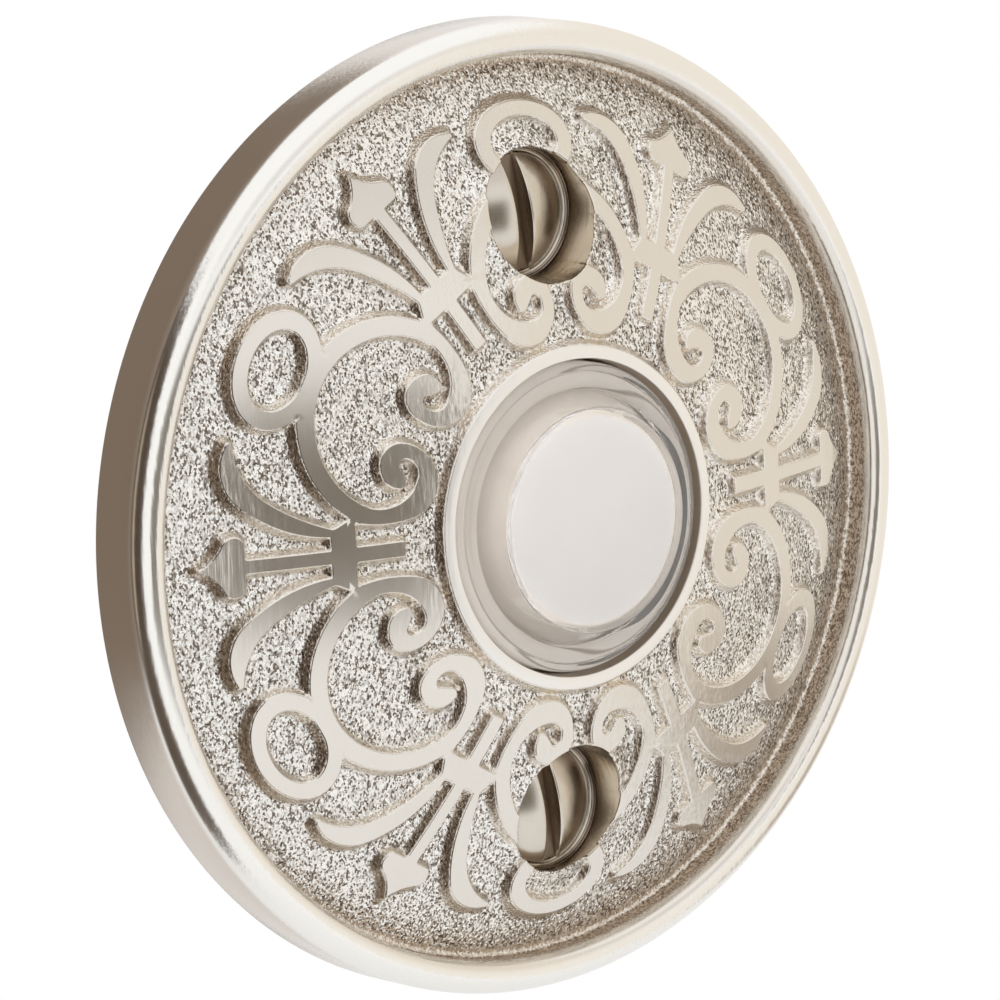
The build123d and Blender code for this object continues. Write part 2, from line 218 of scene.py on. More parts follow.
volute = arcs(
    [
        (-6.1, 0), (-5.42, -1.65), (-4.40, -3.03), (-3.22, -3.66), (-1.80, -3.44), (-0.77, -1.97),
        (-0.90, -0.44), (-1.70, 0.27), (-2.78, 0.10), (-3.42, -0.78), (-3.33, -1.43),
        (-3.00, -1.71), (-2.68, -1.58), (-2.43, -1.24), (-2.14, -0.86), (-1.69, -0.96),
        (-1.56, -1.33), (-1.70, -1.92), (-2.33, -2.28), (-3.47, -2.15), (-4.48, -1.39),
        (-4.90, -0.70), (-5.05, 0),
    ],
    8,
) + [(-5.05, 0.1), (-6.1, 0.1)]


def oval(half_width, half_height, centre, steps=64):
    """An upright oval round a point on the scroll's axis."""
    turns = [2 * math.pi * i / steps for i in range(steps)]
    return [(half_width * math.cos(t), centre + half_height * math.sin(t)) for t in turns]


loop_centre = 7.62
loop_hole = oval(2.43, 1.52, loop_centre)
loop_edge = oval(3.53, 2.37, loop_centre)
print("outlines", len(spear), len(leaf), len(volute), "points")

# %% [markdown]
# The field is sampled on a polar grid whose borders are the borders of half a motif, so that the
# level lines drawn through it end exactly on the axes.

# %% Distances on a polar grid

field_inner, field_outer = 9.8, 26.16
collar_radius = 10.05
half_motif_degrees = 30
grid_rings, grid_rays = 332, 281
radii = np.linspace(field_inner, field_outer, grid_rings)
angles = np.radians(np.linspace(0, half_motif_degrees, grid_rays))
grid_r, grid_a = np.meshgrid(radii, angles, indexing="ij")


def distance_to(x, y, outline):
    """Distance from points to a closed outline, positive inside it."""
    nearest, inside = np.full(x.shape, 1e9), np.zeros(x.shape, bool)
    for (ax, ay), (bx, by) in zip(outline, outline[1:] + outline[:1]):
        ex, ey = bx - ax, by - ay
        t = np.clip(((x - ax) * ex + (y - ay) * ey) / (ex * ex + ey * ey + 1e-12), 0, 1)
        nearest = np.minimum(nearest, (x - ax - t * ex) ** 2 + (y - ay - t * ey) ** 2)
        if ay != by:
            inside ^= ((ay > y) != (by > y)) & (x < ex * (y - ay) / ey + ax)
    return np.where(inside, 1, -1) * np.sqrt(nearest)


def joined(first, second, round_in=0.16):
    """Union of two fields with a round in the corners where they meet."""
    overlap = np.maximum(round_in - np.abs(first - second), 0)
    return np.maximum(first, second) + overlap * overlap / (4 * round_in)


across, out = grid_r * np.sin(grid_a), grid_r * np.cos(grid_a)
field = distance_to(across, out, spear)
for outline in (stem, hub, tail, leaf):
    field = joined(field, distance_to(across, out, outline))

from_axis = grid_a - math.radians(half_motif_degrees)
across, out = grid_r * np.sin(from_axis), grid_r * np.cos(from_axis) - scroll_centre
from_centre = np.hypot(across, out)
arch = (scroll_outer - scroll_inner) / 2 - np.abs(from_centre - (scroll_outer + scroll_inner) / 2)
curl = joined(np.minimum(arch, out + 0.05), distance_to(across, out, volute))
loop = np.minimum(distance_to(across, out, loop_edge), -distance_to(across, out, loop_hole))
field = joined(field, joined(curl, loop))
field = joined(field, collar_radius - grid_r)
print("field from", round(field.min(), 2), "to", round(field.max(), 2), "mm")

# %% [markdown]
# ## From field to mesh
# The relief's side is a sloped S: crisp where the top ends, and down on the ground 0.6 mm further.
# Level lines are traced through the grid by marching squares and become edges of the mesh, so the
# cast edges stay clean however coarse the rest of the mesh is.

# %% Level lines

relief_depth = 0.6
# The field's value, and the depth below the dome there
side_steps = [
    (0.05, 0.0), (0.0, 0.06), (-0.14, 0.26), (-0.28, 0.45), (-0.38, 0.55), (-0.48, 0.59),
    (-0.6, relief_depth),
]


def traced(level):
    """Chains of (radius, angle) points along one level of the field."""
    high = field > level
    first = high[:-1, :-1]
    crossed = (first != high[1:, :-1]) | (first != high[1:, 1:]) | (first != high[:-1, 1:])
    touching = {}
    for i, j in np.argwhere(crossed):
        ring = [(i, j, 0), (i + 1, j, 1), (i, j + 1, 0), (i, j, 1)]
        corners = [high[i, j], high[i + 1, j], high[i + 1, j + 1], high[i, j + 1]]
        cut = [ring[k] for k in range(4) if corners[k] != corners[(k + 1) % 4]]
        if len(cut) == 4 and corners[0]:
            cut = cut[1:] + cut[:1]
        for a, b in zip(cut[::2], cut[1::2]):
            touching.setdefault(a, []).append(b)
            touching.setdefault(b, []).append(a)
    placed = []
    for edge in sorted(touching, key=lambda edge: len(touching[edge])):
        chain = []
        while edge in touching:
            chain.append(edge)
            edge = next((other for other in touching.pop(edge) if other in touching), None)
        if len(chain) < 4:
            continue
        (i, j, _), (k, l, _) = chain[0], chain[-1]
        if len(chain) > 8 and abs(i - k) + abs(j - l) <= 2:
            chain.append(chain[0])
        points = []
        for i, j, way in chain:
            k, l = (i, j + 1) if way else (i + 1, j)
            part = (level - field[i, j]) / (field[k, l] - field[i, j])
            radius = radii[i] + part * (radii[k] - radii[i])
            points.append((radius, angles[j] + part * (angles[l] - angles[j])))
        placed.append(np.array(points))
    return placed


def evenly(chain, step=0.13):
    """The same chain with points at even distances, in plan."""
    plan = np.stack([chain[:, 0] * np.cos(chain[:, 1]), chain[:, 0] * np.sin(chain[:, 1])], 1)
    along = np.concatenate([[0], np.cumsum(np.hypot(*np.diff(plan, axis=0).T))])
    count = max(3, round(along[-1] / step))
    at = np.linspace(0, along[-1], count + 1)
    return np.stack([np.interp(at, along, plan[:, 0]), np.interp(at, along, plan[:, 1])], 1)


level_lines = [evenly(chain) for level, depth in side_steps for chain in traced(level)]
print(len(level_lines), "level lines,", sum(len(line) for line in level_lines), "points")

# %% [markdown]
# Half a motif is triangulated with those lines as fixed edges. Its height anywhere is the dome's
# height, less the depth that the field gives there. The half with a screw hole is cut by a circle.

# %% Triangles of half a motif

dome_height, dome_radius = 9.35, 58.0
screw_radius = 17.5
hole_radius, hole_round = 3.85, 0.14
hole_edge = hole_radius + hole_round
lip_depth, lip_width = 0.2, 1.0
axis_angle = math.radians(half_motif_degrees)
hole_x, hole_y = screw_radius * math.cos(axis_angle), screw_radius * math.sin(axis_angle)


def field_at(x, y):
    """The field between grid points."""
    i = np.clip((np.hypot(x, y) - radii[0]) / (radii[1] - radii[0]), 0, len(radii) - 1.001)
    j = np.clip(np.arctan2(y, x) / angles[1], 0, len(angles) - 1.001)
    a, b = i.astype(int), j.astype(int)
    u, v = i - a, j - b
    low = field[a, b] * (1 - v) + field[a, b + 1] * v
    high = field[a + 1, b] * (1 - v) + field[a + 1, b + 1] * v
    return low * (1 - u) + high * u


def depth_at(x, y, holed=False):
    """Depth below the dome. Round a screw hole the ground rises to a low lip."""
    levels, depths = np.array(side_steps[::-1]).T
    depth = np.interp(field_at(x, y), levels, depths)
    if holed:
        away = np.hypot(x - hole_x, y - hole_y) - hole_edge
        lip = lip_depth + (relief_depth - lip_depth) * np.clip(away / lip_width, 0, 1)
        depth = np.minimum(depth, lip)
    return depth


def dome_at(x, y, depth=0.0):
    """Height of the dome, or of a surface that lies depth below it."""
    return dome_height - dome_radius + np.sqrt((dome_radius - depth) ** 2 - x * x - y * y)


def triangulated(lines, fill, nearness, closed=False):
    """Plan points, triangles and the triangles' middles, with lines as fixed edges."""
    points, edges = [], []
    for line in lines:
        start, count = len(points), len(line)
        points += [tuple(p) for p in line]
        edges += [(start + i, start + (i + 1) % count) for i in range(count if closed else count - 1)]
    made = delaunay_2d_cdt([Vector(p) for p in [*points, *fill]], edges, [], 0, nearness)
    plan, triangles = np.array([tuple(p) for p in made[0]]), np.array(made[2])
    return plan, triangles, plan[triangles].mean(axis=1)


def half_motif(with_hole):
    """Plan points and triangles of half a motif."""
    mark_step, mark_gap, step, clear = 0.35, 0.12, 0.42, 0.2
    on_top, on_ground, nearness = 0.25, -0.7, 0.008
    lines = list(level_lines)
    for angle in (0, axis_angle):
        tips = [line[end] for line in level_lines for end in (0, -1)]
        cuts = [math.hypot(x, y) for x, y in tips if abs(math.atan2(y, x) - angle) < 1e-7]
        fixed = [field_inner, *cuts, field_outer]
        marks = np.arange(field_inner + mark_step, field_outer - clear, mark_step)
        marks = sorted(fixed + [r for r in marks if min(abs(r - m) for m in fixed) > mark_gap])
        lines.append([(r * math.cos(angle), r * math.sin(angle)) for r in marks])
    sweep = np.radians(np.linspace(0, half_motif_degrees, 41))
    for r in (field_inner, field_outer):
        lines.append(round_about(0, 0, r, sweep))
    if with_hole:
        around = axis_angle + np.linspace(-math.pi, 0, 61)
        lines.append(round_about(hole_x, hole_y, hole_edge, around))
    rows, columns = np.meshgrid(np.arange(0, 15, step * 0.866), np.arange(8, 27, step), indexing="ij")
    fill_x = (columns + (np.arange(rows.shape[0]) % 2)[:, None] * step / 2).ravel()
    fill_y = rows.ravel()
    r, t = np.hypot(fill_x, fill_y), np.arctan2(fill_y, fill_x)
    d = field_at(fill_x, fill_y)
    keep = (r > field_inner + clear) & (r < field_outer - clear) & ((d > on_top) | (d < on_ground))
    keep &= (fill_y > clear) & (r * np.sin(axis_angle - t) > clear)
    if with_hole:
        keep &= np.hypot(fill_x - hole_x, fill_y - hole_y) > hole_edge + clear
    plan, triangles, middle = triangulated(lines, zip(fill_x[keep], fill_y[keep]), nearness)
    turn = np.arctan2(plan[:, 1], plan[:, 0])
    borders = (np.hypot(*plan.T) < field_inner + 1e-4, turn < 1e-6, turn > axis_angle - 1e-6)
    keep = ~np.any([border[triangles].all(axis=1) for border in borders], axis=0)
    if with_hole:
        keep &= np.hypot(middle[:, 0] - hole_x, middle[:, 1] - hole_y) > hole_edge - 0.004
    return plan, triangles[keep]


plain_half, holed_half = half_motif(False), half_motif(True)
print("half a motif has", len(plain_half[1]), "triangles, with a hole", len(holed_half[1]))

# %% [markdown]
# Under the circle the hole goes down: a small round, a straight wall to where the head's rim sits,
# the conical seat and the clearance hole. The edge follows the relief, so the wall's top does too.

# %% Halves stood on the dome, with the hole's wall

seat_top, shank_hole = 4.2, 2.15
seat_profile = [(hole_radius, seat_top), (3.5, 3.797), (shank_hole, 2.244), (shank_hole, 0.0)]


def on_dome(half, holed=False):
    """A half motif's points on the dome."""
    plan, triangles = half
    x, y = plan.T
    z = dome_at(x, y, depth_at(x, y, holed))
    return [tuple(p) for p in np.stack([x, y, z], 1)], [tuple(t) for t in triangles]


def hole_turn(x, y):
    """Angle round the hole, from -180 degrees at its inner side to 0 at its outer side."""
    turn = np.arctan2(y - hole_y, x - hole_x) - axis_angle
    return (turn + math.pi + 0.5) % (2 * math.pi) - math.pi - 0.5


def hole_wall(half):
    """The wall of half a hole, hung from the edge that the triangles leave."""
    plan, triangles = half
    away = np.hypot(plan[:, 0] - hole_x, plan[:, 1] - hole_y)
    sides = np.concatenate([triangles[:, pair] for pair in ([0, 1], [1, 2], [2, 0])])
    sides, uses = np.unique(np.sort(sides, axis=1), axis=0, return_counts=True)
    edge = np.unique([side for side in sides[uses == 1] if max(away[side]) < hole_edge + 0.01])
    turns = hole_turn(plan[edge, 0], plan[edge, 1])
    edge = edge[np.argsort(turns)]
    bends = np.radians([0, 22, 45, 68, 90])
    rounds = [(hole_round * (1 - math.sin(t)), hole_round * (1 - math.cos(t))) for t in bends]
    rows = []
    for i in edge:
        x, y = plan[i]
        top = float(dome_at(x, y, depth_at(x, y, True)))
        dx, dy = (x - hole_x) / away[i], (y - hole_y) / away[i]
        ring = [(hole_radius + aside, top - down) for aside, down in rounds] + seat_profile
        rows.append([(x, y, top)] + [(hole_x + dx * r, hole_y + dy * r, z) for r, z in ring[1:]])
    points, faces = lofted(rows, closed=False)
    return points, [(a, d, c, b) for a, b, c, d in faces]


def reflected(shape, angle):
    """The shape's mirror image across the axis at an angle."""
    points, faces = shape
    c, s = math.cos(2 * angle), math.sin(2 * angle)
    return [(c * x + s * y, s * x - c * y, z) for x, y, z in points], [f[::-1] for f in faces]


plain_side = on_dome(plain_half)
plain_motif = together(plain_side, reflected(plain_side, axis_angle))
holed_side = together(on_dome(holed_half, True), hole_wall(holed_half))
holed_motif = together(holed_side, reflected(holed_side, axis_angle))
print("a motif has", len(plain_motif[1]), "faces, with a hole", len(holed_motif[1]))

# %% [markdown]
# ## Rim, collar and back
# The rest of the plate is turned or flat: a rolled rim, a plain collar round the button, the seat for
# the switch, and behind the front a hollow that leaves a sleeve in the middle and a boss round each
# screw. Flat parts are triangulated between their outlines.

# %% Turned parts of the plate


def quarter(x, z, radius, first, last, steps):
    """Profile points on an arc round (x, z)."""
    return round_about(x, z, radius, np.radians(np.linspace(first, last, steps + 1)))


plate_radius, rim_inner, rim_height, hollow_radius = 28.6, 26.6, 4.4, 25.2
rim_outer_round, rim_inner_round, rim_fillet, foot_round = 1.2, 0.76, 0.304, 0.15
ground_edge = float(dome_at(field_outer, 0, relief_depth))
rim_profile = [(field_outer, ground_edge)]
rim_profile += quarter(rim_inner - rim_fillet, ground_edge + 0.271, rim_fillet, -117, 0, 8)[1:]
inner_centre, outer_centre = rim_height - rim_inner_round, rim_height - rim_outer_round
rim_profile += quarter(rim_inner + rim_inner_round, inner_centre, rim_inner_round, 180, 90, 10)
rim_profile += quarter(plate_radius - rim_outer_round, outer_centre, rim_outer_round, 90, 0, 16)
rim_profile += quarter(plate_radius - foot_round, foot_round, foot_round, 0, -90, 3) + [(hollow_radius, 0)]

bore_radius, bore_round, seat_radius, seat_height = 9.25, 0.12, 10.55, 5.0
collar_profile = [(field_inner, float(dome_at(field_inner, 0)))]
collar_top = float(dome_at(bore_radius + bore_round, 0))
collar_profile += quarter(bore_radius + bore_round, collar_top - bore_round, bore_round, 90, 180, 4)
collar_profile += [(bore_radius, seat_height), (seat_radius, seat_height), (seat_radius, 0)]
print("rim", len(rim_profile), "collar", len(collar_profile), "profile points")

# %% Back of the plate

sleeve_radius, boss_radius, hollow_top, front_wall = 12.55, 5.45, 3.2, 2.6
meet = math.acos((sleeve_radius**2 + screw_radius**2 - boss_radius**2) / (2 * sleeve_radius * screw_radius))
boss_meet = math.asin(sleeve_radius * math.sin(meet) / boss_radius)


def circle(radius, steps):
    return round_about(0, 0, radius, turns_of(steps))


def island_edge():
    """Edge of the raised middle of the back: the sleeve with a boss above and below."""
    right = np.linspace(-math.pi / 2 + meet, math.pi / 2 - meet, 120)
    boss = np.linspace(-math.pi / 2 + boss_meet, 1.5 * math.pi - boss_meet, 96)[1:-1]
    half = round_about(0, 0, sleeve_radius, right) + round_about(0, screw_radius, boss_radius, boss)
    return half + [(-x, -y) for x, y in half]


def hollow_at(x, y):
    return np.minimum(hollow_top, dome_at(x, y, front_wall))


def between(loops, fill):
    """Plan points and triangles between closed loops: those inside an odd number of them."""
    plan, triangles, middle = triangulated(loops, fill, 1e-5, closed=True)
    inside = np.zeros(len(triangles), bool)
    for loop_points in loops:
        inside ^= distance_to(*middle.T, loop_points) > 0
    return plan, triangles[inside]


island = island_edge()
seat_end = np.array([p for p in holed_side[0] if p[2] == 0])
hole_turns = hole_turn(seat_end[:, 0], seat_end[:, 1])
hole_turns = np.unique(np.round(np.concatenate([hole_turns, -hole_turns]), 7))[1:] + math.pi / 2
screw_loop = round_about(0, screw_radius, shank_hole, hole_turns)
lower_loop = [(-x, -y) for x, y in screw_loop]
plan, triangles = between([circle(seat_radius, 480), island, screw_loop, lower_loop], [])
island_face = [(x, y, 0.0) for x, y in plan], [tuple(t[::-1]) for t in triangles]
fill = [p for r in (14, 16, 18, 19.5, 20.5, 21.5, 22.5, 23.5, 24.4) for p in circle(r, 96)]
fill = [p for p, inward in zip(fill, distance_to(*np.array(fill).T, island)) if inward < -0.25]
plan, triangles = between([circle(hollow_radius, 480), island], fill)
ceiling = [(x, y, float(hollow_at(x, y))) for x, y in plan], [tuple(t[::-1]) for t in triangles]


def curtain(loop_points):
    """The wall that stands on a loop, from the back up to the hollow's ceiling."""
    return lofted([[(x, y, 0.0), (x, y, float(hollow_at(x, y)))] for x, y in loop_points])


back_parts = together(island_face, ceiling, curtain(island), curtain(circle(hollow_radius, 480)))
print("back", len(back_parts[1]), "faces")

# %% [markdown]
# ## Copies by Geometry Nodes
# What repeats is instanced. This small class builds a node tree, and `grown` runs it on an empty
# object and returns a plain mesh. One tree winds a wire, for the screws' thread and for the spring.

# %% Node trees for geometry


def new_node(tree, kind, settings, sockets, out):
    """A new node's output, with its settings made and its sockets linked or given a value."""
    made = tree.nodes.new(kind)
    for key, value in (settings or {}).items():
        setattr(made, key, value)
    for key, value in (sockets or {}).items():
        for one in value if isinstance(value, list) else [value]:
            if isinstance(one, bpy.types.NodeSocket):
                tree.links.new(one, made.inputs[key])
            else:
                made.inputs[key].default_value = one
    return made.outputs[out]


class Tree:
    """A geometry node tree with named inputs."""

    def __init__(self, name, inputs):
        self.tree = bpy.data.node_groups.new(name, "GeometryNodeTree")
        self.tree.interface.new_socket("Geometry", in_out="OUTPUT", socket_type="NodeSocketGeometry")
        self.identifiers = {}
        for title, kind in inputs.items():
            made = self.tree.interface.new_socket(title, in_out="INPUT", socket_type="NodeSocket" + kind)
            self.identifiers[title] = made.identifier
        self.start = self.tree.nodes.new("NodeGroupInput")
        self.end = self.tree.nodes.new("NodeGroupOutput")

    def node(self, kind, settings=None, sockets=None, out=0):
        return new_node(self.tree, kind, settings, sockets, out)

    def given(self, title):
        return self.start.outputs[title]

    def math(self, operation, first, second=0.0):
        return self.node("ShaderNodeMath", {"operation": operation}, {0: first, 1: second})

    def finish(self, geometry, material):
        real = self.node("GeometryNodeRealizeInstances", {}, {0: geometry})
        done = self.node("GeometryNodeSetMaterial", {}, {"Geometry": real, "Material": material})
        self.tree.links.new(done, self.end.inputs[0])


def grown(tree, values):
    """The mesh that a tree makes from the values of its inputs."""
    holder = in_scene("holder", bpy.data.meshes.new("holder"))
    modifier = holder.modifiers.new("grow", "NODES")
    modifier.node_group = tree.tree
    for title, value in values.items():
        modifier[tree.identifiers[title]] = value
    bpy.context.view_layer.update()
    seen = holder.evaluated_get(bpy.context.evaluated_depsgraph_get())
    mesh = bpy.data.meshes.new_from_object(seen)
    bpy.data.objects.remove(holder)
    return mesh


def coil(name, turns, radius, length, wire, steps, sides):
    """Points, in millimetres, and faces of a wire wound about z. Its section has a few sides."""
    titles = ("Turns", "Radius", "Length", "Wire")
    tree = Tree(name, {**dict.fromkeys(titles, "Float"), "Material": "Material"})
    bend = {"Resolution": steps, "Rotations": tree.given("Turns"), "Height": tree.given("Length")}
    bend.update({"Start Radius": tree.given("Radius"), "End Radius": tree.given("Radius")})
    line = tree.node("GeometryNodeCurveSpiral", {}, bend)
    section = {"Resolution": sides, "Radius": tree.given("Wire")}
    section = tree.node("GeometryNodeCurvePrimitiveCircle", {}, section)
    tube = {"Curve": line, "Profile Curve": section, "Fill Caps": True}
    tree.finish(tree.node("GeometryNodeCurveToMesh", {}, tube), tree.given("Material"))
    mesh = grown(tree, dict(zip(titles, (turns, radius * mm, length * mm, wire * mm))))
    return np.array([v.co for v in mesh.vertices]) / mm, [tuple(p.vertices) for p in mesh.polygons]


# %% [markdown]
# Six motifs stand round the plate. Every third one has a screw hole.

# %% The front, from two motifs

ring_inputs = {"Plain": "Object", "Holed": "Object", "Count": "Int", "Every": "Int", "Material": "Material"}
ring = Tree("motif_ring", ring_inputs)
spots = ring.node("GeometryNodePoints", {}, {"Count": ring.given("Count")})
index = ring.node("GeometryNodeInputIndex")
turn = ring.math("DIVIDE", ring.math("MULTIPLY", index, -2 * math.pi), ring.given("Count"))
way = ring.node("ShaderNodeCombineXYZ", {}, {"Y": turn})
spin = ring.node("FunctionNodeEulerToRotation", {}, {0: way})
is_holed = ring.math("COMPARE", ring.math("MODULO", index, ring.given("Every")), 1.0)
is_plain = ring.math("SUBTRACT", 1.0, is_holed)
copies = []
for title, chosen in (("Plain", is_plain), ("Holed", is_holed)):
    motif = ring.node("GeometryNodeObjectInfo", {}, {"Object": ring.given(title)}, "Geometry")
    sockets = {"Points": spots, "Instance": motif, "Rotation": spin, "Selection": chosen}
    copies.append(ring.node("GeometryNodeInstanceOnPoints", {}, sockets))
ring.finish(ring.node("GeometryNodeJoinGeometry", {}, {0: copies}), ring.given("Material"))

plain = in_scene("plain_motif", mesh_of("plain_motif", *plain_motif))
holed = in_scene("holed_motif", mesh_of("holed_motif", *holed_motif))
front = grown(ring, {"Plain": plain, "Holed": holed, "Count": 6, "Every": 3})
bpy.data.objects.remove(plain)
bpy.data.objects.remove(holed)
print("front", len(front.polygons), "faces")

# %% [markdown]
# The turned parts and the back join the front. Each point then gets a number, from 0 on the sunk ground
# to 1 on a top, which the finish reads. The back and the foot of the rim are as cast, at a half.

# %% The whole plate

other_parts = mesh_of("other_parts", *together(turned(rim_profile), turned(collar_profile), back_parts))
work = bmesh.new()
work.from_mesh(front)
work.from_mesh(other_parts)
plate_mesh = bpy.data.meshes.new("face_plate_cast")
work.to_mesh(plate_mesh)
work.free()
tidy(plate_mesh, 30)

spots = np.array([v.co for v in plate_mesh.vertices]) / mm
x, y, z = spots[:, 0], spots[:, 2], -spots[:, 1]
turn = np.degrees(np.arctan2(y, x)) + half_motif_degrees
turn = np.abs(turn % (2 * half_motif_degrees) - half_motif_degrees)
r = np.hypot(x, y)
depth = depth_at(r * np.cos(np.radians(turn)), r * np.sin(np.radians(turn)))
in_field = (r > field_inner - 0.02) & (r < field_outer + 0.02)
front_side = (z > dome_at(x, y) - relief_depth - 0.2) & in_field
in_hole = np.hypot(x, np.abs(y) - screw_radius) < hole_radius + 0.01
grain_ends, grain_fade, buffed_radius, bare = 3.2, 0.5, 27.0, 0.5
rolled = np.clip((z - grain_ends) / grain_fade, 0, 1)
tops = np.select(
    [z < 0.02, (r < field_inner) | in_hole, front_side, r > buffed_radius, r > field_outer],
    [bare, 1.0, 1 - depth / relief_depth, 1.0, rolled],
    bare,
)
made = plate_mesh.attributes.new("tops", "FLOAT", "POINT")
made.data.foreach_set("value", tops.astype(np.float32))
print("plate", len(plate_mesh.vertices), "points", len(plate_mesh.polygons), "faces")

# %% [markdown]
# ## Shader arithmetic
# A finish is a formula. This small class wraps one output socket, so that `1 - mask * 0.5` adds the
# Math nodes by itself, and one method makes any other node.

# %% The Field class


class Field:
    """One output of a material's node tree."""

    def __init__(self, tree, socket=None):
        self.tree, self.socket = tree, socket

    def node(self, kind, settings=None, sockets=None, out=0):
        plain = {key: getattr(value, "socket", value) for key, value in (sockets or {}).items()}
        return Field(self.tree, new_node(self.tree, "ShaderNode" + kind, settings, plain, out))

    def math(self, operation, first, second=0.0):
        return self.node("Math", {"operation": operation}, {0: first, 1: second})

    def step(self, low, high):
        """0 below low, 1 above high, smooth between."""
        sockets = {"Value": self, "From Min": low, "From Max": high}
        return self.node("MapRange", {"interpolation_type": "SMOOTHSTEP"}, sockets)

    def mix(self, low, high):
        """A colour that goes from low to high as this value goes from 0 to 1."""
        sockets = {0: self}
        for place, colour in ((6, low), (7, high)):
            sockets[place] = colour if isinstance(colour, Field) else (*colour, 1)
        return self.node("Mix", {"data_type": "RGBA"}, sockets, 2)

    def band(self, rise, fall):
        """1 between two soft edges, each given by where it starts and ends."""
        return self.step(*rise) * (1 - self.step(*fall))

    def place(self):
        return self.node("TexCoord", out="Object")

    def parts(self, vector):
        split = self.node("SeparateXYZ", {}, {0: vector})
        outputs = split.socket.node.outputs
        return [Field(self.tree, outputs[i]) for i in range(3)]

    def vector(self, x, y, z):
        return self.node("CombineXYZ", {}, {0: x, 1: y, 2: z})

    def vmath(self, operation, first, second=(0, 0, 0)):
        return self.node("VectorMath", {"operation": operation}, {0: first, 1: second})

    def length(self, x, y, z):
        return self.node("VectorMath", {"operation": "LENGTH"}, {0: self.vector(x, y, z)}, "Value")

    def noise(self, vector, scale, detail, rough):
        sockets = {"Vector": vector, "Scale": scale, "Detail": detail, "Roughness": rough}
        return self.node("TexNoise", {}, sockets)


# Each sign gets a Math node, with the field before it or after it
for sign, kind in (("add", "ADD"), ("sub", "SUBTRACT"), ("mul", "MULTIPLY"), ("truediv", "DIVIDE")):
    setattr(Field, f"__{sign}__", lambda self, other, kind=kind: self.math(kind, self, other))
    setattr(Field, f"__r{sign}__", lambda self, other, kind=kind: self.math(kind, other, self))


def finish(name, constants, varying):
    """A Principled finish: constants go straight on its sockets, and varying(field) gives links."""
    material = bpy.data.materials.new(name)
    material.use_nodes = True
    tree = material.node_tree
    shader = tree.nodes["Principled BSDF"]
    for key, value in constants.items():
        shader.inputs[key].default_value = (*value, 1) if key.endswith("Color") else value
    for key, value in varying(Field(tree)).items():
        tree.links.new(value.socket, shader.inputs[key])
    print("finish", name, len(tree.nodes), "nodes")
    return material


def add_piece(name, mesh, material, body, replaces):
    """A finished piece that rides on a body."""
    thing = in_scene(name, mesh)
    mesh.materials.clear()
    mesh.materials.append(material)
    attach(thing, body)
    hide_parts(*replaces)
    print(name, len(mesh.vertices), "points", len(mesh.polygons), "faces")
    return thing


# %% [markdown]
# ## Satin nickel
# The tops are brushed up and down, which leaves fine upright streaks, and stay satin smooth. The sunk
# ground and the sides of the relief keep the grain of the mould: small facets, a tenth of a millimetre
# across, that lean every way and glitter, with brown left in the deeper ones. Sides that face left are
# painted a dark brown shade. The rim is buffed brighter, and its groove, the bore and the walls of the
# screw holes are painted with dark shade, darkest low in the holes.
# Distances here are in millimetres from the button's axis, from a screw's axis and out of the wall.

# %% Plate finish


def streaks(f, x, y, z, across, along, detail):
    """Brush marks that run up the plate."""
    return f.noise(f.vector(x * across, y * across, z * along), 1.0, detail, 0.6) - 0.5


def plate_tones(f, shade, tops, on_top, normal, from_axis, out):
    """Colour of the brushed tops, the grained ground, the relief's sides with painted shade on those that
    face left, and the rim's groove with painted shade.
    """
    patch = f.noise(f.place(), 260.0, 3.0, 0.6)
    bright = patch.mix((0.80, 0.755, 0.69), (0.85, 0.81, 0.75))
    speckled = shade.step(0.12, 0.55).mix((0.20, 0.16, 0.125), (1.0, 0.98, 0.94))
    pale = shade.mix((0.66, 0.58, 0.48), (0.97, 0.92, 0.85))
    left_side_shade = shade.mix((0.20, 0.15, 0.11), (0.62, 0.53, 0.44))
    # The rim's groove, a crease between ground and rim, is painted a dark speckled brown shade.
    groove = shade.step(0.1, 0.8).mix((0.24, 0.18, 0.13), (0.72, 0.61, 0.51))
    # Sides of the relief whose normal points left get a painted dark brown shade; the other sides stay pale.
    left_shade_mask = (0 - f.parts(normal)[0]).step(0.6, 0.8)
    sides = left_shade_mask.mix(pale, left_side_shade)
    pits = tops.step(0.06, 0.3).mix(speckled, sides)
    on_front = out.step(1.0, 2.0)
    fillet = from_axis.band((26.0, 26.15), (26.48, 26.56)) * on_front
    groove_shade_mask = from_axis.band((26.5, 26.58), (27.0, 27.2)) * on_front * (1 - out.step(3.4, 3.95))
    return patch, groove_shade_mask.mix(on_top.mix(fillet.mix(pits, sides), bright), groove)


